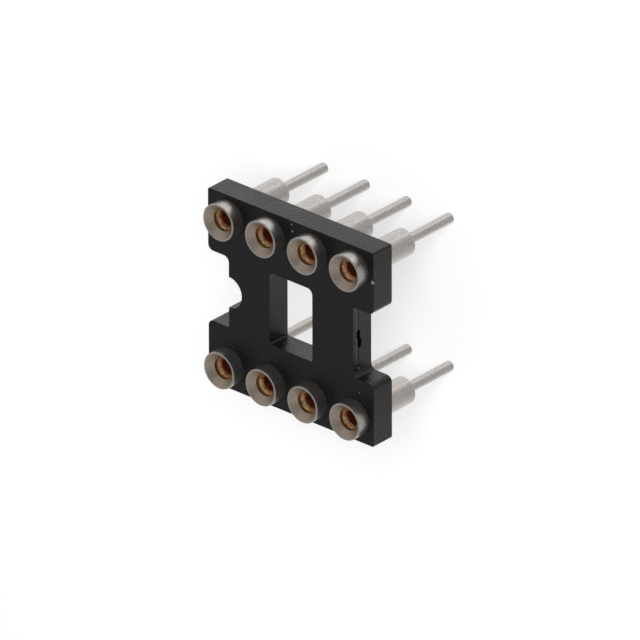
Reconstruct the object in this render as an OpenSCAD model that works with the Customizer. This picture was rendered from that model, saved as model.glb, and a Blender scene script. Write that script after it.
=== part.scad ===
// Eight-contact open-frame socket for a dual in-line chip.
//
// A thin moulded insulator carries two rows of four turned contacts. Each contact is a
// tin-plated sleeve with a solder tail, and a gold-plated spring clip is pressed into it.
// Z = 0 is the seating plane, where the sleeves' shoulders meet the board, and the origin
// is the centre of the contact pattern. +Z points to the mouths, +X runs along the rows
// away from the polarity notch, and contact 1 is at -X -Y.

/* [Contact pattern] */
// Distance between neighbouring contacts in a row
pitch = 2.54; // [2.2:0.01:3.2]
// Distance between the two rows
row_spacing = 7.62; // [7:0.01:10.2]

/* [Insulator] */
// Thickness of the moulded plate
plate_t = 1.25; // [1:0.05:2]
// From the axis of an end contact to the end of the plate
end_margin = 1.21; // [1.1:0.01:1.6]
// From the axis of a row to the long side of the plate
side_margin = 1.16; // [1.05:0.01:1.6]
// From the axis of a row in to the side recesses
bar_inner = 2.01; // [1.4:0.01:2.5]
// How far each side recess is set in from the plate's end
recess_depth = 1.25; // [0.8:0.05:1.6]
// Rounding of the plate's four outer corners
plate_corner_r = 0.1; // [0.05:0.05:0.3]
// Rounding of the bar corners at the mouth of a recess
recess_mouth_r = 0.3; // [0.1:0.05:0.5]
// Length of the middle window, along the rows
window_l = 2.6; // [1.6:0.05:3.2]
// From the axis of a row in to the window
window_inner = 1.96; // [1.4:0.01:2.5]
// Fillet in the wide inner corners of the recesses and the window
wide_fillet_r = 0.3; // [0.1:0.05:0.5]
// Fillet in their tight inner corners
tight_fillet_r = 0.1; // [0.05:0.05:0.3]
// Radius of the half-round polarity notch
notch_r = 0.78; // [0.4:0.02:1]

/* [Gate scar] */
// Length of each of the two pits where the moulding gate broke off the web
pit_l = 0.5; // [0.3:0.01:0.6]
// Height of a pit
pit_h = 0.24; // [0.15:0.01:0.3]
// Depth of a pit
pit_depth = 0.15; // [0.05:0.01:0.3]
// Distance between the middles of the pits
pit_spacing = 0.44; // [0.3:0.02:0.6]
// How much lower the second pit lies
pit_drop = 0.08; // [0:0.01:0.15]
// From the top of the plate down to the middle of the scar
gate_down = 0.4; // [0.3:0.01:0.6]
// From the middle of the web to the middle of the scar
gate_off = 0.03; // [-0.5:0.01:0.5]

/* [Sleeve] */
// From the seating plane to the rim of the mouth
sleeve_h = 4.19; // [3.9:0.01:5]
// Diameter of the head
head_d = 1.83; // [1.7:0.01:2.05]
// How far the head stands above the plate
head_h = 0.68; // [0.5:0.01:0.9]
// Bevel around the outside of the rim
rim_bevel = 0.03; // [0.01:0.01:0.05]
// Width of the flat ring around the mouth, inside the bevel
rim_land = 0.05; // [0.02:0.01:0.1]
// Full angle of the lead-in cone
lead_in_angle = 90; // [70:5:110]
// Diameter of the bore that holds the clip
bore_d = 1.05; // [0.95:0.01:1.15]
// From the rim to the end of the straight bore
bore_depth = 3.2; // [2.8:0.05:3.5]
// Full angle of the drill point at the end of the bore
drill_angle = 118; // [90:1:140]
// Diameter of the barrel below the head
barrel_d = 1.35; // [1.25:0.01:1.5]
// How far the barb that holds the barrel stands out of it
barb_out = 0.04; // [0.02:0.01:0.08]
// Height of the barb
barb_h = 0.35; // [0.2:0.01:0.6]
// From the top of the plate down to the barb
barb_down = 0.3; // [0.15:0.01:0.38]
// Bevel around the shoulder of the barrel
shoulder_bevel = 0.05; // [0.02:0.01:0.1]
// Diameter of the solder tail
tail_d = 0.508; // [0.4:0.001:0.7]
// Length of the solder tail below the seating plane
tail_l = 3.18; // [2.5:0.01:4.5]
// Bevel around the tip of the tail
tail_bevel = 0.08; // [0.04:0.01:0.15]

/* [Clip] */
// Thickness of the spring strip
clip_t = 0.08; // [0.05:0.01:0.1]
// Overall length of the clip
clip_l = 1.99; // [1.85:0.01:2.2]
// From the bottom of the lead-in cone down to the clip
clip_down = 0.14; // [0.05:0.01:0.2]
// How far the clip's flared mouth stands out from the collar below it
flare_out = 0.065; // [0.03:0.005:0.09]
// Angle of the flared mouth from the clip's axis
flare_angle = 37; // [30:1:45]
// Flat left at the upper edge of the mouth
flare_edge = 0.01; // [0.005:0.005:0.02]
// Height of the closed collar below the flared mouth
collar_h = 0.56; // [0.4:0.01:0.6]
// Opening between the fingers at the throat, with nothing plugged in
throat_d = 0.38; // [0.3:0.01:0.46]
// Length of the straight land at the throat
throat_l = 0.2; // [0.1:0.01:0.25]
// How far the tip of a finger flares out from the throat
tip_flare = 0.06; // [0.02:0.01:0.1]
// Length of the flared tips
tip_l = 0.15; // [0.1:0.01:0.25]
// Number of spring fingers
fingers = 4; // [3:1:6]
// Angle of the slit between two fingers
slit_angle = 15; // [8:1:18]
// Width of the seam where the strip's ends meet in the collar
seam_w = 0.05; // [0.03:0.01:0.08]

/* [Fits] */
// Radial gap between a barrel and its hole in the plate
barrel_gap = 0.01; // [0.005:0.005:0.03]
// Radial gap between a clip's flared mouth and the bore
clip_gap = 0.01; // [0.005:0.005:0.02]

/* [Hidden] */

// Contacts in one row. Contacts 1 to 4 run along -Y towards +X, and 5 to 8 come back along +Y.
row_count = 4;
contact_count = 2 * row_count;

// A cut runs this far past the face that it leaves through
past = 0.5;
$fn = 64;

// Plate: the bars carry the rows, and the web between the side recesses joins them
end_x = (row_count - 1) * pitch / 2;
row_y = row_spacing / 2;
plate_l = 2 * (end_x + end_margin);
plate_w = 2 * (row_y + side_margin);
plate_top = sleeve_h - head_h;
plate_z = plate_top - plate_t;
recess_w = 2 * (row_y - bar_inner);
web_x = plate_l / 2 - recess_depth;
window_w = 2 * (row_y - window_inner);

// Sleeve, and the bore inside it from the rim down
head_r = head_d / 2;
lead_in_r = head_r - rim_bevel - rim_land;
bore_r = bore_d / 2;
bore_top = sleeve_h - (lead_in_r - bore_r) / tan(lead_in_angle / 2);
bore_end = sleeve_h - bore_depth;
bore_point = bore_end - bore_r / tan(drill_angle / 2);
barrel_r = barrel_d / 2;
tail_r = tail_d / 2;

// Barb: its sharp step faces up, and its slope runs in to the barrel
barb_top = plate_top - barb_down;
barb_foot = barb_top - barb_h;

// Clip, from its mouth down
mouth_r = bore_r - clip_gap;
collar_r = mouth_r - flare_out;
clip_top = bore_top - clip_down;
clip_end = clip_top - clip_l;
flare_end = clip_top - (flare_out + clip_t - flare_edge) / tan(flare_angle);
flare_foot = flare_end - clip_t * tan(flare_angle / 2);
collar_end = flare_end - collar_h;
land_end = clip_end + tip_l;
land_top = land_end + throat_l;

function contact_x(n) = n <= row_count ? -end_x + (n - 1) * pitch : end_x - (n - row_count - 1) * pitch;
function contact_y(n) = n <= row_count ? -row_y : row_y;

// Clips are pressed in at no set angle. This is how far round the seam of each one stands,
// for contacts 1 to 8.
clip_turns = [74, 21, 197, 183, 35, 212, 8, 96];

module at_contact(n) {
    translate([contact_x(n), contact_y(n), 0])
        children();
}

// What is cut from a square corner at the origin to round it, with the solid in +X +Y
module corner_waste(r) {
    difference() {
        translate([-past, -past])
            square(r + past);
        translate([r, r])
            circle(r);
    }
}

// Rectangle of l by w, centred. The radii go round from the -X -Y corner to +X -Y and on.
module rounded_rectangle(l, w, radii) {
    difference() {
        square([l, w], center = true);
        for (i = [0 : 3]) {
            x = i == 0 || i == 3 ? -l / 2 : l / 2;
            y = i < 2 ? -w / 2 : w / 2;
            translate([x, y])
                rotate(90 * i)
                    corner_waste(radii[i]);
        }
    }
}

// Recess at the plate's +X end. It is used twice, turned half round.
module side_recess() {
    translate([plate_l / 2, 0]) {
        rounded_rectangle(2 * recess_depth, recess_w,
            [wide_fillet_r, tight_fillet_r, tight_fillet_r, tight_fillet_r]);
        translate([0, recess_w / 2])
            rotate(90)
                corner_waste(recess_mouth_r);
        translate([0, -recess_w / 2])
            rotate(180)
                corner_waste(recess_mouth_r);
    }
}

module plate_outline() {
    r = plate_corner_r;
    difference() {
        rounded_rectangle(plate_l, plate_w, [r, r, r, r]);
        side_recess();
        rotate(180)
            side_recess();
        translate([-web_x, 0])
            circle(notch_r);
        rounded_rectangle(window_l, window_w,
            [tight_fillet_r, tight_fillet_r, wide_fillet_r, wide_fillet_r]);
    }
}

// Hole for one barrel, with the groove that its barb presses into the plastic
module barrel_hole() {
    hole_r = barrel_r + barrel_gap;
    groove_r = hole_r + barb_out;
    translate([0, 0, plate_z - past])
        cylinder(h = plate_t + 2 * past, r = hole_r);
    rotate_extrude()
        polygon([
            [0, barb_foot],
            [hole_r, barb_foot],
            [groove_r, barb_top],
            [groove_r, barb_top + barrel_gap],
            [0, barb_top + barrel_gap]
        ]);
}

// One pit of the scar: a slot with round ends, sunk into the face at X = 0
module scar_pit() {
    straight = pit_l - pit_h;
    translate([-pit_depth, 0, 0])
        rotate([90, 0, 90])
            linear_extrude(pit_depth + past) {
                square([straight, pit_h], center = true);
                for (x = [-1, 1])
                    translate([x * straight / 2, 0])
                        circle(pit_h / 2);
            }
}

// Two pits side by side on the web's side, at the end away from the notch
module gate_scar() {
    translate([web_x, gate_off, plate_top - gate_down])
        for (side = [-1, 1])
            translate([0, side * pit_spacing / 2, side * pit_drop / 2])
                scar_pit();
}

// Moulded plate: an open frame with two contact bars, a web, a window and a polarity notch
module insulator() {
    color([0.16, 0.16, 0.165])
        difference() {
            translate([0, 0, plate_z])
                linear_extrude(plate_t)
                    plate_outline();
            for (n = [1 : contact_count])
                at_contact(n)
                    barrel_hole();
            gate_scar();
        }
}

// Turned sleeve: head, barbed barrel, shoulder and solder tail around a blind bore
module sleeve(n) {
    color([0.72, 0.69, 0.67])
        at_contact(n)
            rotate_extrude()
                polygon([
                    [0, -tail_l],
                    [tail_r - tail_bevel, -tail_l],
                    [tail_r, -tail_l + tail_bevel],
                    [tail_r, 0],
                    [barrel_r - shoulder_bevel, 0],
                    [barrel_r, shoulder_bevel],
                    [barrel_r, barb_foot],
                    [barrel_r + barb_out, barb_top],
                    [barrel_r, barb_top],
                    [barrel_r, plate_top],
                    [head_r, plate_top],
                    [head_r, sleeve_h - rim_bevel],
                    [head_r - rim_bevel, sleeve_h],
                    [lead_in_r, sleeve_h],
                    [bore_r, bore_top],
                    [bore_r, bore_end],
                    [0, bore_point]
                ]);
}

// Section of the strip: a mouth flared out to the bore, a collar, and a finger that leans in
// to the throat and flares out again at its tip
module clip_section() {
    throat_r = throat_d / 2;
    tip_r = throat_r + tip_flare;
    polygon([
        [mouth_r, clip_top],
        [mouth_r - flare_edge, clip_top],
        [collar_r - clip_t, flare_end],
        [collar_r - clip_t, collar_end],
        [throat_r, land_top],
        [throat_r, land_end],
        [tip_r, clip_end],
        [tip_r + clip_t, clip_end],
        [throat_r + clip_t, (land_top + land_end) / 2],
        [collar_r, collar_end],
        [collar_r, flare_foot],
        [mouth_r, flare_foot + flare_out / tan(flare_angle)]
    ]);
}

// Spring clip, rolled from strip: slits part the fingers below the collar, and a seam over
// one of the slits runs up through the collar and the mouth
module clip(n) {
    color([0.80, 0.60, 0.32])
        at_contact(n)
            rotate([0, 0, clip_turns[n - 1]])
                difference() {
                    rotate_extrude()
                        clip_section();
                    for (i = [0 : fingers - 1])
                        rotate([0, 0, i * 360 / fingers - slit_angle / 2])
                            translate([0, 0, clip_end - past])
                                rotate_extrude(angle = slit_angle)
                                    square([bore_r, collar_end - clip_end + past]);
                    translate([0, -seam_w / 2, clip_end - past])
                        cube([bore_r, seam_w, clip_l + 2 * past]);
                }
}

insulator();
sleeve(1);  // sleeve_1
sleeve(2);  // sleeve_2
sleeve(3);  // sleeve_3
sleeve(4);  // sleeve_4
sleeve(5);  // sleeve_5
sleeve(6);  // sleeve_6
sleeve(7);  // sleeve_7
sleeve(8);  // sleeve_8
clip(1);  // clip_1
clip(2);  // clip_2
clip(3);  // clip_3
clip(4);  // clip_4
clip(5);  // clip_5
clip(6);  // clip_6
clip(7);  // clip_7
clip(8);  // clip_8
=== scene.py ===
import bmesh
import bpy
import math
from mathutils import Matrix, Vector


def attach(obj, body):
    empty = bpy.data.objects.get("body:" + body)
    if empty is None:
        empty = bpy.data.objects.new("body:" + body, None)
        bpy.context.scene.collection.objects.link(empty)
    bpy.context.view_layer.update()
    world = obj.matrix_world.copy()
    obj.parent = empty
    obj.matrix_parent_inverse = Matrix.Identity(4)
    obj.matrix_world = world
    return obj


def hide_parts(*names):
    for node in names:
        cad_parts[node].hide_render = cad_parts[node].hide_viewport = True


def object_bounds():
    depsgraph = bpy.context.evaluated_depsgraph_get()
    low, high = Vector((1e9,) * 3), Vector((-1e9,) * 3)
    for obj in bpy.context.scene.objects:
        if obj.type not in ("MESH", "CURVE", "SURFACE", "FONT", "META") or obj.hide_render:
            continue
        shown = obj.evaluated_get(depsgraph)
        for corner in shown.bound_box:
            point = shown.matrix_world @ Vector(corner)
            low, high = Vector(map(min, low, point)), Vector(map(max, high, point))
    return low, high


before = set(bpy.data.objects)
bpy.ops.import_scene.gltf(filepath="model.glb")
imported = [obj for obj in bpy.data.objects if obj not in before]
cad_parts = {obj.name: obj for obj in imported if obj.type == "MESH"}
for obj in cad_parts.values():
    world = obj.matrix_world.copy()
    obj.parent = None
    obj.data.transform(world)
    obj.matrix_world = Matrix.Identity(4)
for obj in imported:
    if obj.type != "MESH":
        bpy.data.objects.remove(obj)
cad_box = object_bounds()
scene = bpy.context.scene
scene.view_settings.view_transform = "Standard"
MM = 0.001

# Camera
# It looks down into the contacts' mouths and is rolled, so that the socket seems to stand
# on one long side. The lens is long, which keeps the socket's edges nearly parallel.
view_target = Vector((1.299, 0.096, 2.977)) * MM
view_back = Vector((0.58623, 0.46334, 0.66457)).normalized()
view_up = Vector((-0.30431, 0.88617, -0.34941))
view_right = view_up.cross(view_back).normalized()
view_turn = Matrix((view_right, view_back.cross(view_right), view_back)).transposed()
camera_distance = 1.0
camera_data = bpy.data.cameras.new("camera")
camera_data.sensor_width = 36.0
camera_data.lens = 1235.6
camera_data.clip_start = 0.05
camera_data.clip_end = 10.0
camera = bpy.data.objects.new("camera", camera_data)
camera.matrix_world = (Matrix.Translation(view_target + view_back * camera_distance)
                       @ view_turn.to_4x4())
scene.collection.objects.link(camera)
scene.camera = camera


# Floor and light
# A plain white table that the tails' tips rest on, in a room that is pale low down, palest on
# the -X side, and dimmer overhead, which is what the flat tops and the mouths mirror. One
# square soft lamp beside the camera lights the whole and gives the faint shadow.
def linear(hex_colour):
    """Linear red, green, blue and alpha of an sRGB colour such as 8a6a48."""
    parts = [int(hex_colour[i:i + 2], 16) / 255 for i in (0, 2, 4)]
    return [c / 12.92 if c <= 0.04045 else ((c + 0.055) / 1.055) ** 2.4 for c in parts] + [1.0]


def add_node(tree, kind, links=(), values=(), **settings):
    """Adds a node. links and values pair one of its input sockets with an output or a value."""
    node = tree.nodes.new(kind)
    for name, value in settings.items():
        setattr(node, name, value)
    for socket, value in values:
        node.inputs[socket].default_value = value
    for socket, source in links:
        tree.links.new(source, node.inputs[socket])
    return node


def new_material(name):
    """An empty node material and its tree."""
    material = bpy.data.materials.new(name)
    material.use_nodes = True
    material.node_tree.nodes.clear()
    return material, material.node_tree


# Matt white paper. To the camera it also glows a little, so that it comes out as the
# photograph's white ground and still keeps the shadow. What the metal mirrors is the room.
table, tree = new_material("white_table")
seen = add_node(tree, "ShaderNodeLightPath")
direct = add_node(tree, "ShaderNodeMath", operation="MAXIMUM",
                  links=[(0, seen.outputs["Is Camera Ray"]),
                         (1, seen.outputs["Is Transmission Ray"])])
paper = add_node(tree, "ShaderNodeBsdfDiffuse", values=[("Color", linear("dcdcdc"))])
glow = add_node(tree, "ShaderNodeEmission", values=[("Color", (1, 1, 1, 1)), ("Strength", 0.55)])
glow_share = add_node(tree, "ShaderNodeMixShader",
                      links=[(0, direct.outputs[0]), (2, glow.outputs[0])])
both = add_node(tree, "ShaderNodeAddShader",
                links=[(0, paper.outputs[0]), (1, glow_share.outputs[0])])
add_node(tree, "ShaderNodeOutputMaterial", links=[("Surface", both.outputs[0])])
table_reach = 2.0
tails_low = cad_box[0][2]
bm = bmesh.new()
bmesh.ops.create_grid(bm, x_segments=1, y_segments=1, size=table_reach)
bmesh.ops.translate(bm, verts=bm.verts, vec=(0, 0, tails_low))
mesh = bpy.data.meshes.new("table")
bm.to_mesh(mesh)
bm.free()
mesh.materials.append(table)
floor = bpy.data.objects.new("table", mesh)
floor.visible_glossy = False
scene.collection.objects.link(floor)

# The room. It is white to the camera, and graded in what it lights and in what metal mirrors.
room = bpy.data.worlds.new("room")
room.use_nodes = True
tree = room.node_tree
tree.nodes.clear()
seen = add_node(tree, "ShaderNodeLightPath")
way = add_node(tree, "ShaderNodeTexCoord")
# The lower part of the room, from dim on the +X side to pale on the -X side
side = add_node(tree, "ShaderNodeVectorMath", operation="DOT_PRODUCT",
                links=[(0, way.outputs["Generated"])], values=[(1, (-0.98, -0.19, 0))])
below = add_node(tree, "ShaderNodeMapRange",
                 links=[("Value", side.outputs["Value"])],
                 values=[("From Min", -0.73), ("From Max", 0.2), ("To Min", 0.54),
                         ("To Max", 1.05)])
# The upper part, dimmest round the camera, which the mouths' cones look at
facing = add_node(tree, "ShaderNodeVectorMath", operation="DOT_PRODUCT",
                  links=[(0, way.outputs["Generated"])], values=[(1, (0.59, 0.46, 0.66))])
above = add_node(tree, "ShaderNodeMapRange", interpolation_type="SMOOTHSTEP",
                 links=[("Value", facing.outputs["Value"])],
                 values=[("From Min", 0.75), ("From Max", 1.0), ("To Min", 0.40),
                         ("To Max", 0.22)])
# The two blend from 20 degrees below the horizon to 3 above it
height = add_node(tree, "ShaderNodeSeparateXYZ", links=[(0, way.outputs["Generated"])])
level = add_node(tree, "ShaderNodeMapRange", interpolation_type="SMOOTHSTEP",
                 links=[("Value", height.outputs["Z"]), ("To Min", below.outputs["Result"]),
                        ("To Max", above.outputs["Result"])],
                 values=[("From Min", -0.35), ("From Max", 0.05)])
# A bright patch low behind the socket, which draws the light line along barrels and tails
behind = add_node(tree, "ShaderNodeVectorMath", operation="DOT_PRODUCT",
                  links=[(0, way.outputs["Generated"])], values=[(1, (0.10, 0.74, -0.665))])
window = add_node(tree, "ShaderNodeMapRange", interpolation_type="SMOOTHSTEP",
                  links=[("Value", behind.outputs["Value"]), ("To Min", level.outputs["Result"])],
                  values=[("From Min", 0.97), ("From Max", 0.995), ("To Max", 1.5)])
direct = add_node(tree, "ShaderNodeMath", operation="MAXIMUM",
                  links=[(0, seen.outputs["Is Camera Ray"]),
                         (1, seen.outputs["Is Transmission Ray"])])
shown = add_node(tree, "ShaderNodeMix", data_type="FLOAT",
                 links=[("Factor", direct.outputs[0]), ("A", window.outputs["Result"])],
                 values=[("B", 1.0)])
sky = add_node(tree, "ShaderNodeBackground", links=[("Strength", shown.outputs["Result"])],
               values=[("Color", (1, 1, 1, 1))])
add_node(tree, "ShaderNodeOutputWorld", links=[("Surface", sky.outputs[0])])
scene.world = room

# The lamp faces the socket from beside the camera. Metal doesn't mirror it.
lamp_size, lamp_distance, lamp_radiance = 0.10, 0.25, 10.0
lamp_way = Vector((0.53, 0.46, 0.71)).normalized()
lamp_data = bpy.data.lights.new("key", "AREA")
lamp_data.shape = "SQUARE"
lamp_data.size = lamp_size
lamp_data.energy = lamp_radiance * math.pi * lamp_size * lamp_size
lamp = bpy.data.objects.new("key", lamp_data)
lamp.matrix_world = (Matrix.Translation(lamp_way * lamp_distance)
                     @ lamp_way.to_track_quat("Z", "Y").to_matrix().to_4x4())
lamp.visible_glossy = False
scene.collection.objects.link(lamp)


# Insulator
# One thin moulding of glass-filled polyester, black and slightly glossy. It is an open frame:
# two bars with the contacts' holes, a web between the side recesses, and a window. The
# half-round notch marks the end of contact 1, and the gate broke off the other end's web.

# Sizes are in millimetres. plate_x, web_x and the like are half widths.
plate_top, plate_t = 3.51, 1.25
plate_x, plate_y = 5.02, 4.97
web_x, recess_y = 3.77, 1.80
window_x, window_y = 1.30, 1.85
notch_r, hole_r = 0.78, 0.685
# Fillets: the wide and the tight ones in the recesses and the window, the plate's corners, and
# the recesses' mouths
wide, tight, corner, mouth = 0.30, 0.10, 0.10, 0.30
edge_rounding = 0.03
pit_l, pit_h, pit_depth, pit_r = 0.50, 0.24, 0.15, 0.119
pit_y, pit_z, pit_shift_y, pit_shift_z = 0.03, 3.11, 0.22, 0.04
groove_z, groove_from, groove_to = 3.21, 0.04, 0.10
pitch, row_y = 2.54, 3.81
# Contacts 1 to 4 run towards +X, and 5 to 8 come back along the other row.
contacts = [(-1.5 * pitch + i * pitch, -row_y) for i in range(4)]
contacts += [(1.5 * pitch - i * pitch, row_y) for i in range(4)]


def rounded_loop(bm, corners):
    """A closed loop of edges at z = 0 through corners given as (x, y, radius)."""
    verts = [bm.verts.new((x * MM, y * MM, 0)) for x, y, radius in corners]
    bm.faces.new(verts)
    for vert, (x, y, radius) in zip(verts, corners):
        if radius:
            bmesh.ops.bevel(bm, geom=[vert], offset=radius * MM, segments=8, profile=0.5,
                            affect="VERTICES", material=-1)
    bmesh.ops.delete(bm, geom=bm.faces[:], context="FACES_ONLY")


def thicken(bm, depth):
    """Fills the loops at z = 0, holes left open, and extrudes the face down by depth."""
    bmesh.ops.triangle_fill(bm, use_beauty=True, use_dissolve=False, edges=bm.edges[:],
                            normal=(0, 0, 1))
    raised = bmesh.ops.extrude_face_region(bm, geom=bm.faces[:], use_keep_orig=True)
    lower = [part for part in raised["geom"] if isinstance(part, bmesh.types.BMVert)]
    bmesh.ops.translate(bm, verts=lower, vec=(0, 0, -depth * MM))
    bmesh.ops.recalc_face_normals(bm, faces=bm.faces[:])


def add_piece(bm, name, material, node=None, smooth_angle=20):
    """Makes the bmesh a piece that rides on the socket and stands for its CAD node."""
    mesh = bpy.data.meshes.new(name)
    bm.to_mesh(mesh)
    bm.free()
    mesh.materials.append(material)
    mesh.shade_smooth()
    mesh.set_sharp_from_angle(angle=math.radians(smooth_angle))
    piece = bpy.data.objects.new(name, mesh)
    scene.collection.objects.link(piece)
    if node:
        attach(piece, "root")
        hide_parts(node)
    return piece


# Moulded glass-filled polyester. The glass fibres are about 0.01 mm thick and leave a grain
# in the skin, drawn 0.09 mm coarse here so that it shows: nearly black, with greyer specks.
# The gloss also drifts over patches of 1.2 mm, where the melt flowed differently.
plastic, tree = new_material("glass_filled_polyester")
grain_size, blotch_size, grain_depth = 0.09, 1.2, 0.026
place = add_node(tree, "ShaderNodeTexCoord")
grain = add_node(tree, "ShaderNodeTexNoise", links=[("Vector", place.outputs["Object"])],
                 values=[("Scale", 1 / (grain_size * MM)), ("Detail", 3.0),
                         ("Roughness", 0.6)])
blotch = add_node(tree, "ShaderNodeTexNoise", links=[("Vector", place.outputs["Object"])],
                  values=[("Scale", 1 / (blotch_size * MM)), ("Detail", 4.0),
                          ("Roughness", 0.55)])
fibres = add_node(tree, "ShaderNodeMapRange", links=[("Value", grain.outputs["Fac"])],
                  values=[("From Min", 0.44), ("From Max", 0.64)])
tint = add_node(tree, "ShaderNodeMix", data_type="RGBA",
                links=[("Factor", fibres.outputs["Result"])],
                values=[("A", linear("010101")), ("B", linear("18181a"))])
# Grains of pale dust that have settled on it, as (x, y, z, radius). near ends as the distance
# from the nearest grain, counted in its radii.
dust_grains = [(0.06, 4.78, 3.51, 0.042), (0.11, 4.44, 3.51, 0.052), (4.95, 3.46, 3.51, 0.09),
               (3.77, -1.47, 3.13, 0.035), (4.15, -2.44, 3.51, 0.03)]
near = add_node(tree, "ShaderNodeValue")
near.outputs[0].default_value = 10.0
for x, y, z, radius in dust_grains:
    away = add_node(tree, "ShaderNodeVectorMath", operation="DISTANCE",
                    links=[(0, place.outputs["Object"])], values=[(1, (x * MM, y * MM, z * MM))])
    radii = add_node(tree, "ShaderNodeMath", operation="DIVIDE",
                     links=[(0, away.outputs["Value"])], values=[(1, radius * MM)])
    near = add_node(tree, "ShaderNodeMath", operation="MINIMUM",
                    links=[(0, near.outputs[0]), (1, radii.outputs[0])])
ragged = add_node(tree, "ShaderNodeMath", operation="ADD",
                  links=[(0, near.outputs[0]), (1, grain.outputs["Fac"])])
dust = add_node(tree, "ShaderNodeMapRange", links=[("Value", ragged.outputs[0])],
                values=[("From Min", 1.3), ("From Max", 1.6), ("To Min", 1.0), ("To Max", 0.0)])
dusty = add_node(tree, "ShaderNodeMix", data_type="RGBA",
                 links=[("Factor", dust.outputs["Result"]), ("A", tint.outputs["Result"])],
                 values=[("B", linear("90908c"))])
uneven = add_node(tree, "ShaderNodeMath", operation="ADD",
                  links=[(0, blotch.outputs["Fac"]), (1, grain.outputs["Fac"])])
dullness = add_node(tree, "ShaderNodeMapRange", links=[("Value", uneven.outputs[0])],
                    values=[("From Min", 0.75), ("From Max", 1.25), ("To Min", 0.16),
                            ("To Max", 0.34)])
# A fine groove along the web's +X side at the gate's height, where two parts of the mould met
spot = add_node(tree, "ShaderNodeSeparateXYZ", links=[(0, place.outputs["Object"])])
off_line = add_node(tree, "ShaderNodeMath", operation="SUBTRACT",
                    links=[(0, spot.outputs["Z"])], values=[(1, groove_z * MM)])
height_off = add_node(tree, "ShaderNodeMath", operation="ABSOLUTE",
                      links=[(0, off_line.outputs[0])])
line = add_node(tree, "ShaderNodeMapRange", interpolation_type="SMOOTHSTEP",
                links=[("Value", height_off.outputs[0])],
                values=[("From Min", groove_from * MM), ("From Max", groove_to * MM),
                        ("To Min", -0.6), ("To Max", 0.0)])
at_gate = add_node(tree, "ShaderNodeMath", operation="COMPARE", links=[(0, spot.outputs["X"])],
                   values=[(1, web_x * MM), (2, 0.01 * MM)])
groove = add_node(tree, "ShaderNodeMath", operation="MULTIPLY",
                  links=[(0, line.outputs["Result"]), (1, at_gate.outputs[0])])
relief = add_node(tree, "ShaderNodeMath", operation="ADD",
                  links=[(0, groove.outputs[0]), (1, grain.outputs["Fac"])])
bump = add_node(tree, "ShaderNodeBump", links=[("Height", relief.outputs[0])],
                values=[("Strength", 1.0), ("Distance", grain_depth * MM)])
shader = add_node(tree, "ShaderNodeBsdfPrincipled",
                  links=[("Base Color", dusty.outputs["Result"]),
                         ("Roughness", dullness.outputs["Result"]),
                         ("Normal", bump.outputs["Normal"])],
                  values=[("IOR", 1.40)])
add_node(tree, "ShaderNodeOutputMaterial", links=[("Surface", shader.outputs[0])])

# The outline starts without its notch: one edge goes, and a half circle spun from its end
# closes the loop again.
same_place = 1e-7  # in metres
bm = bmesh.new()
rounded_loop(bm, [
    (-plate_x, -plate_y, corner), (plate_x, -plate_y, corner),
    (plate_x, -recess_y, mouth), (web_x, -recess_y, wide),
    (web_x, recess_y, tight), (plate_x, recess_y, mouth),
    (plate_x, plate_y, corner), (-plate_x, plate_y, corner),
    (-plate_x, recess_y, mouth), (-web_x, recess_y, wide),
    (-web_x, notch_r, 0), (-web_x, -notch_r, 0),
    (-web_x, -recess_y, tight), (-plate_x, -recess_y, mouth)])
notch_ends = [vert for vert in bm.verts
              if abs(vert.co.x + web_x * MM) < same_place
              and abs(abs(vert.co.y) - notch_r * MM) < same_place]
bmesh.ops.delete(bm, geom=[bm.edges.get(notch_ends)], context="EDGES")
first = min(notch_ends, key=lambda vert: vert.co.y)
bmesh.ops.spin(bm, geom=[first], cent=(-web_x * MM, 0, 0), axis=(0, 0, 1),
               angle=math.pi, steps=28)
bmesh.ops.remove_doubles(bm, verts=bm.verts[:], dist=same_place)
rounded_loop(bm, [
    (-window_x, -window_y, tight), (window_x, -window_y, tight),
    (window_x, window_y, wide), (-window_x, window_y, wide)])
for x, y in contacts:
    bmesh.ops.create_circle(bm, cap_ends=False, segments=48, radius=hole_r * MM,
                            matrix=Matrix.Translation((x * MM, y * MM, 0)))
thicken(bm, plate_t)
bmesh.ops.translate(bm, verts=bm.verts[:], vec=(0, 0, plate_top * MM))
insulator = add_piece(bm, "insulator_moulding", plastic, "insulator")

# The gate was broken off and left two shallow pits, and every edge of the moulding is
# slightly rounded.
bm = bmesh.new()
for side in (-1, 1):
    loop = bmesh.new()
    rounded_loop(loop, [(-pit_h / 2, -pit_l / 2, pit_r), (pit_h / 2, -pit_l / 2, pit_r),
                        (pit_h / 2, pit_l / 2, pit_r), (-pit_h / 2, pit_l / 2, pit_r)])
    thicken(loop, 2 * pit_depth)
    bmesh.ops.translate(loop, verts=loop.verts[:], vec=(0, 0, pit_depth * MM))
    bmesh.ops.rotate(loop, verts=loop.verts[:], cent=(0, 0, 0),
                     matrix=Matrix.Rotation(math.pi / 2, 3, "Y"))
    bmesh.ops.translate(loop, verts=loop.verts[:],
                        vec=Vector((web_x, pit_y + side * pit_shift_y,
                                    pit_z + side * pit_shift_z)) * MM)
    part = bpy.data.meshes.new("pit")
    loop.to_mesh(part)
    loop.free()
    bm.from_mesh(part)
pits = add_piece(bm, "gate_pits", plastic)
cut = insulator.modifiers.new("pits", "BOOLEAN")
cut.object = pits
cut.solver = "EXACT"
cut.use_self = True
edge = insulator.modifiers.new("edge", "BEVEL")
edge.limit_method = "ANGLE"
edge.angle_limit = math.radians(50)
edge.width = edge_rounding * MM
edge.segments = 2
edge.harden_normals = True
insulator.data = bpy.data.meshes.new_from_object(
    insulator.evaluated_get(bpy.context.evaluated_depsgraph_get()))
insulator.modifiers.clear()
bpy.data.objects.remove(pits)


# Sleeves
# Each is turned from brass rod in one piece and then tin plated to a satin grey: a head with
# a lead-in cone, a barrel that is pressed through the insulator, and a solder tail.

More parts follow.
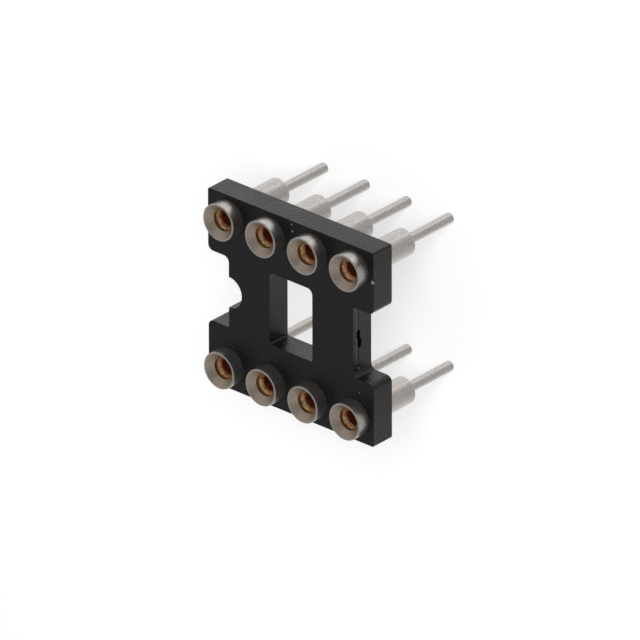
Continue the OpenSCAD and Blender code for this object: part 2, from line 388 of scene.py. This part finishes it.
# Satin tin plate over turned brass. It is a soft, even grey with a little mottle from the
# plating's crystals, which are a few thousandths of a millimetre and are drawn 0.07 mm coarse
# here, and with fine rings from the turning, 0.05 mm apart. The plating hardly reaches into the
# bore, so brass shows there.
tin, tree = new_material("satin_tin_plate")
crystal_size, turning_pitch, tin_depth = 0.07, 0.05, 0.004
place = add_node(tree, "ShaderNodeTexCoord")
along = add_node(tree, "ShaderNodeAttribute", attribute_name="along")
bare = add_node(tree, "ShaderNodeAttribute", attribute_name="bare")
turning = add_node(tree, "ShaderNodeTexNoise", noise_dimensions="1D",
                   links=[("W", along.outputs["Fac"])],
                   values=[("Scale", 1 / turning_pitch), ("Detail", 2.0), ("Roughness", 0.6)])
crystal = add_node(tree, "ShaderNodeTexNoise", links=[("Vector", place.outputs["Object"])],
                   values=[("Scale", 1 / (crystal_size * MM)), ("Detail", 3.0),
                          ("Roughness", 0.6)])
relief = add_node(tree, "ShaderNodeMath", operation="ADD",
                  links=[(0, crystal.outputs["Fac"]), (1, turning.outputs["Fac"])])
bump = add_node(tree, "ShaderNodeBump", links=[("Height", relief.outputs[0])],
                values=[("Strength", 1.0), ("Distance", tin_depth * MM)])
patch = add_node(tree, "ShaderNodeMapRange", links=[("Value", crystal.outputs["Fac"])],
                 values=[("From Min", 0.35), ("From Max", 0.65)])
tint = add_node(tree, "ShaderNodeMix", data_type="RGBA",
                links=[("Factor", patch.outputs["Result"])],
                values=[("A", linear("b4aea9")), ("B", linear("d4cfcb"))])
worn = add_node(tree, "ShaderNodeMix", data_type="RGBA",
                links=[("Factor", bare.outputs["Fac"]), ("A", tint.outputs["Result"])],
                values=[("B", linear("c8a060"))])
shader = add_node(tree, "ShaderNodeBsdfPrincipled",
                  links=[("Base Color", worn.outputs["Result"]),
                         ("Normal", bump.outputs["Normal"])],
                  values=[("Metallic", 0.96), ("Roughness", 0.34)])
add_node(tree, "ShaderNodeOutputMaterial", links=[("Surface", shader.outputs[0])])

# The sleeve's half section from the tail's tip up its outside and down into the bore, as
# (radius, height, rounding of the edge there)
tail_r, tail_tip, barrel_r, barb_r, head_r = 0.254, -3.18, 0.675, 0.715, 0.915
cone_r, rim_z, bore_r, bore_top, bore_end, drill_point = 0.835, 4.19, 0.525, 3.88, 0.99, 0.6745
sleeve_section = [
    (0.0, tail_tip, 0), (tail_r, tail_tip, 0.08), (tail_r, 0.0, 0), (barrel_r, 0.0, 0.05),
    (barrel_r, 2.86, 0), (barb_r, 3.21, 0), (barrel_r, 3.21, 0), (barrel_r, plate_top, 0),
    (head_r, plate_top, 0), (head_r, rim_z, 0.03), (cone_r, rim_z, 0.012),
    (bore_r, bore_top, 0.02), (bore_r, bore_end, 0), (0.0, drill_point, 0)]
full_turn = 2 * math.pi
same_ring = 1e-8  # in metres
turned_smooth_angle = 32


def turned(section, steps, sweep=full_turn):
    """Spins a half section round the Z axis and rounds the edges that it gives a radius.
    A ring on either side of each rounding keeps the shading of the walls straight."""
    ring_off = 0.008
    bm = bmesh.new()
    verts = []
    for number, (r, z, rounding) in enumerate(section):
        corner = Vector((r, 0, z)) * MM
        beside = [corner]
        if rounding:
            ends = [Vector((section[i][0], 0, section[i][1])) * MM
                    for i in (number - 1, number + 1)]
            reach = (rounding + ring_off) * MM
            beside = [corner + (ends[0] - corner).normalized() * reach, corner,
                      corner + (ends[1] - corner).normalized() * reach]
        verts += [bm.verts.new(co) for co in beside]
    for low, high in zip(verts, verts[1:]):
        bm.edges.new((low, high))
    bmesh.ops.spin(bm, geom=bm.verts[:] + bm.edges[:], cent=(0, 0, 0), axis=(0, 0, 1),
                   angle=sweep, steps=steps, use_merge=sweep == full_turn)
    bmesh.ops.remove_doubles(bm, verts=bm.verts[:], dist=same_ring)
    for r, z, rounding in section:
        if rounding:
            ring = [edge for edge in bm.edges
                    if all(abs(vert.co.z - z * MM) < same_ring
                           and abs(math.hypot(vert.co.x, vert.co.y) - r * MM) < same_ring
                           for vert in edge.verts)]
            bmesh.ops.bevel(bm, geom=ring, offset=rounding * MM, segments=3, profile=0.5,
                            affect="EDGES", material=-1)
    bmesh.ops.recalc_face_normals(bm, faces=bm.faces[:])
    # Height plus radius changes along walls, cones and flats alike. The materials take their
    # rings from it.
    along = bm.verts.layers.float.new("along")
    for vert in bm.verts:
        vert[along] = (vert.co.z + vert.co.xy.length) / MM
    return bm


# bare says how much of the brass shows: all of it in the bore, and some in the cone.
for number, (x, y) in enumerate(contacts, 1):
    bm = turned(sleeve_section, steps=64)
    bare = bm.verts.layers.float.new("bare")
    for vert in bm.verts:
        radius = vert.co.xy.length / MM
        height = vert.co.z / MM
        in_bore = radius < bore_r + 0.001 and drill_point - 0.01 < height < bore_top - 0.01
        in_cone = radius < cone_r - 0.005 and height > bore_top - 0.03
        if in_bore:
            vert[bare] = 1.0
        elif in_cone:
            vert[bare] = 0.3
    bmesh.ops.translate(bm, verts=bm.verts[:], vec=(x * MM, y * MM, 0))
    add_piece(bm, "sleeve_%d_turned" % number, tin, "sleeve_%d" % number,
              turned_smooth_angle)


# Clips
# Each is stamped from beryllium copper strip, rolled to a collar with four fingers, plated
# with gold and pressed into its sleeve. The fingers lean in to a throat and flare at the tip.

# Thin gold plate on rolled and formed beryllium copper strip. Forming leaves rings about
# 0.08 mm apart and rubbing leaves worn patches, drawn 0.16 mm coarse here so that they show.
# The colour follows them from copper brown to pale gold: partly that wear, partly painted
# glints on the pale peaks and painted shade in the brown, so the metal glints unevenly.
gold, tree = new_material("gold_plate")
rolled_pitch, rubbed_size, gold_depth = 0.08, 0.16, 0.022
place = add_node(tree, "ShaderNodeTexCoord")
along = add_node(tree, "ShaderNodeAttribute", attribute_name="along")
rolled = add_node(tree, "ShaderNodeTexNoise", noise_dimensions="1D",
                  links=[("W", along.outputs["Fac"])],
                  values=[("Scale", 1 / rolled_pitch), ("Detail", 2.0), ("Roughness", 0.6)])
rubbed = add_node(tree, "ShaderNodeTexNoise", links=[("Vector", place.outputs["Object"])],
                  values=[("Scale", 1 / (rubbed_size * MM)), ("Detail", 3.0),
                          ("Roughness", 0.6)])
relief = add_node(tree, "ShaderNodeMath", operation="ADD",
                  links=[(0, rolled.outputs["Fac"]), (1, rubbed.outputs["Fac"])])
bump = add_node(tree, "ShaderNodeBump", links=[("Height", relief.outputs[0])],
                values=[("Strength", 1.0), ("Distance", gold_depth * MM)])
# Pale gold on the peaks of the rings and patches, a painted glint, and copper brown in their
# lows, partly painted shade
wear_and_painted_glint = add_node(tree, "ShaderNodeMapRange", links=[("Value", relief.outputs[0])],
                  values=[("From Min", 0.84), ("From Max", 0.99)])
tint = add_node(tree, "ShaderNodeMix", data_type="RGBA",
                links=[("Factor", wear_and_painted_glint.outputs["Result"])],
                values=[("A", linear("a8623c")), ("B", linear("ffdfb2"))])
# Deeper inside the collar the gold is painted darker and redder, a painted shade, and it is
# duller there
inside = add_node(tree, "ShaderNodeMapRange", links=[("Value", along.outputs["Fac"])],
                  values=[("From Min", 3.95), ("From Max", 3.78)])
painted_deep_shade = add_node(tree, "ShaderNodeMix", data_type="RGBA",
                links=[("Factor", inside.outputs["Result"]), ("A", tint.outputs["Result"])],
                values=[("B", linear("e0a070"))])
dullness = add_node(tree, "ShaderNodeMapRange", links=[("Value", inside.outputs["Result"])],
                    values=[("To Min", 0.3), ("To Max", 0.45)])
shader = add_node(tree, "ShaderNodeBsdfPrincipled",
                  links=[("Base Color", painted_deep_shade.outputs["Result"]),
                         ("Roughness", dullness.outputs["Result"]),
                         ("Normal", bump.outputs["Normal"])],
                  values=[("Metallic", 1.0)])
add_node(tree, "ShaderNodeOutputMaterial", links=[("Surface", shader.outputs[0])])

# The strip's section, from the flared mouth down its outside and up its inside
flare_r, flare_top, collar_r, collar_in, collar_end = 0.515, 3.74, 0.45, 0.37, 3.001
throat_r, finger_end = 0.19, 1.75
clip_section = [
    (0.505, flare_top, 0), (flare_r, flare_top, 0), (flare_r, 3.62, 0), (collar_r, 3.534, 0.02),
    (collar_r, collar_end, 0), (0.27, 2.00, 0), (0.33, finger_end, 0), (0.25, finger_end, 0),
    (throat_r, 1.90, 0), (throat_r, 2.10, 0), (collar_in, collar_end, 0),
    (collar_in, 3.561, 0.08), (0.505, flare_top, 0)]
# How far round its sleeve each clip happens to stand, the widths of the seam and of the slits
# between the fingers, one step of the spin, and a finger with its slit, all in degrees
clip_turns = [74, 21, 197, 183, 35, 212, 8, 96]
seam, slit, step = 3.0, 15.0, 1.5
finger_spacing = 90


def clip_angle(co):
    """Degrees round from the middle of the seam, for a clip that hasn't been turned yet."""
    return math.degrees(math.atan2(co.y, co.x)) % 360 + seam / 2


for number, (x, y) in enumerate(contacts, 1):
    bm = turned(clip_section, steps=round((360 - seam) / step), sweep=math.radians(360 - seam))
    # The slits are cut out, and each finger's sides and the seam's two sides are closed again.
    between = []
    for face in bm.faces:
        centre = face.calc_center_median()
        past_slit = clip_angle(centre) % finger_spacing
        if centre.z < collar_end * MM and not slit / 2 < past_slit < finger_spacing - slit / 2:
            between.append(face)
    bmesh.ops.delete(bm, geom=between, context="FACES")
    arcs = [edge for edge in bm.edges if edge.is_boundary
            and all(abs(vert.co.z - collar_end * MM) < same_ring for vert in edge.verts)]
    arcs.sort(key=lambda edge: clip_angle(edge.verts[0].co + edge.verts[1].co))
    for inner, outer in zip(arcs[::2], arcs[1::2]):
        bmesh.ops.contextual_create(bm, geom=[inner, outer])
    bmesh.ops.holes_fill(bm, edges=[edge for edge in bm.edges if edge.is_boundary], sides=0)
    bmesh.ops.recalc_face_normals(bm, faces=bm.faces[:])
    turn = math.radians(clip_turns[number - 1] + seam / 2)
    bmesh.ops.rotate(bm, verts=bm.verts[:], cent=(0, 0, 0),
                     matrix=Matrix.Rotation(turn, 3, "Z"))
    bmesh.ops.translate(bm, verts=bm.verts[:], vec=(x * MM, y * MM, 0))
    add_piece(bm, "clip_%d_strip" % number, gold, "clip_%d" % number,
              turned_smooth_angle)
